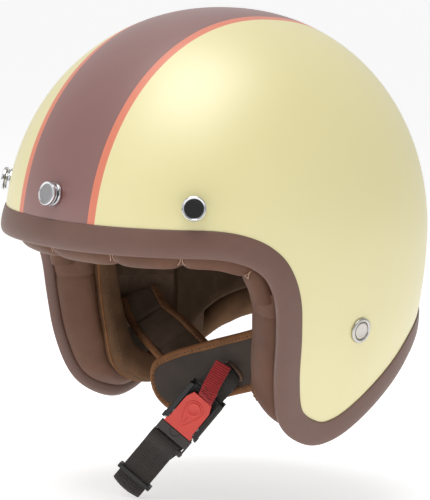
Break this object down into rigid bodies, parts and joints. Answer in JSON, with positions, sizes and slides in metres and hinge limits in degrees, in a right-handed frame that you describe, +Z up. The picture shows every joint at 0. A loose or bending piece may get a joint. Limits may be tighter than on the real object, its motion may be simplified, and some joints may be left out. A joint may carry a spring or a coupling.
{
  "type": "open face motorcycle helmet",
  "caption": "Open-face helmet with rolled edge trim, soft lining, three snap studs, and a padded chin strap closed by a ratchet buckle with a release lever.",
  "frame": {"origin": "middle of the head cavity, at the level where the shell is widest", "axes": "-Y towards the face opening, +X towards the wearer's left, +Z up to the crown; the strap swings about an axis along X"},
  "size_m": [0.2438, 0.2748, 0.3148],
  "materials": {
    "shell_paint": "satin cream lacquer with a brown centre stripe and orange pinstripes",
    "edge_vinyl": "satin brown vinyl bead",
    "eps_foam": "matte black moulded beads",
    "lining_suede": "brushed dark brown suede cloth",
    "roll_leather": "soft brown synthetic leather",
    "pad_suede": "brushed brown suede cloth",
    "ear_cloth": "matte black cloth",
    "stud_chrome": "polished",
    "washer_steel": "zinc plated",
    "anchor_steel": "satin plated",
    "plate_steel": "zinc plated",
    "pad_leather": "worn grey-brown synthetic leather",
    "pad_panel_suede": "brushed dark brown suede cloth",
    "binding_suede": "brushed orange-brown suede cloth",
    "webbing_nylon": "black ribbed nylon webbing",
    "buckle_steel": "zinc plated",
    "buckle_black": "black moulded nylon",
    "pin_steel": "bright drawn steel",
    "spring_steel": "spring steel wire",
    "lever_red": "moulded red nylon",
    "tab_red": "ribbed red nylon tape",
    "tongue_black": "black moulded nylon"
  },
  "bodies": {
    "helmet": {"outer_shell": "shell_paint", "edge_trim": "edge_vinyl", "eps_liner": "eps_foam", "crown_liner": "lining_suede", "brow_roll": "roll_leather", "neck_roll": "pad_suede", "cheek_foam_left": "eps_foam", "cheek_foam_right": "eps_foam", "cheek_pad_left": "pad_suede", "cheek_pad_right": "pad_suede", "cheek_bolster_left": "roll_leather", "cheek_bolster_right": "roll_leather", "ear_lining_left": "ear_cloth", "ear_lining_right": "ear_cloth", "snap_stud_centre": "stud_chrome", "snap_stud_left": "stud_chrome", "snap_stud_right": "stud_chrome", "stud_backing_washers": "washer_steel", "anchor_washer_left": "anchor_steel", "anchor_washer_right": "anchor_steel", "anchor_rivet_left": "anchor_steel", "anchor_rivet_right": "anchor_steel"},
    "strap_left": {"hanger_plate_left": "plate_steel", "webbing_left": "webbing_nylon", "chin_pad_left": "pad_leather", "pad_binding_left": "binding_suede", "buckle_webbing": "webbing_nylon", "buckle_frame": "buckle_steel", "buckle_cover": "buckle_black", "lever_pin": "pin_steel", "lever_spring": "spring_steel"},
    "strap_right": {"hanger_plate_right": "plate_steel", "webbing_right": "webbing_nylon", "chin_pad_right": "pad_panel_suede", "pad_binding_right": "binding_suede"},
    "buckle_lever": {"release_lever": "lever_red", "pull_tab": "tab_red"},
    "tongue": {"ratchet_tongue": "tongue_black", "tongue_bar": "pin_steel", "tongue_webbing": "webbing_nylon"},
    "slider": {"strap_slider": "buckle_black"}
  },
  "joints": [
    {"name": "left_strap_swing", "type": "hinge", "parent": "helmet", "child": "strap_left", "pos_m": [0.103, 0.0136, -0.048], "axis": [1, 0, 0], "range_deg": [-8, 20]},
    {"name": "right_strap_swing", "type": "hinge", "parent": "helmet", "child": "strap_right", "pos_m": [-0.103, 0.0136, -0.048], "axis": [1, 0, 0], "range_deg": [-8, 20]},
    {"name": "lever_lift", "type": "hinge", "parent": "strap_left", "child": "buckle_lever", "pos_m": [0.01026, -0.03396, -0.12124], "axis": [0.6197, 0.52, -0.5878], "range_deg": [0, 35], "stiffness_Nm_per_rad": 0.02, "springref_deg": -17.19},
    {"name": "tongue_release", "type": "slide", "parent": "strap_right", "child": "tongue", "axis": [-0.4503, -0.3778, -0.809], "range_m": [0, 0.04]},
    {"name": "slider_adjust", "type": "slide", "parent": "tongue", "child": "slider", "axis": [0.4503, 0.3778, 0.809], "range_m": [0, 0.02]}
  ],
  "couplings": [
    {"joint": "right_strap_swing", "follows": "left_strap_swing", "ratio": 1}
  ]
}
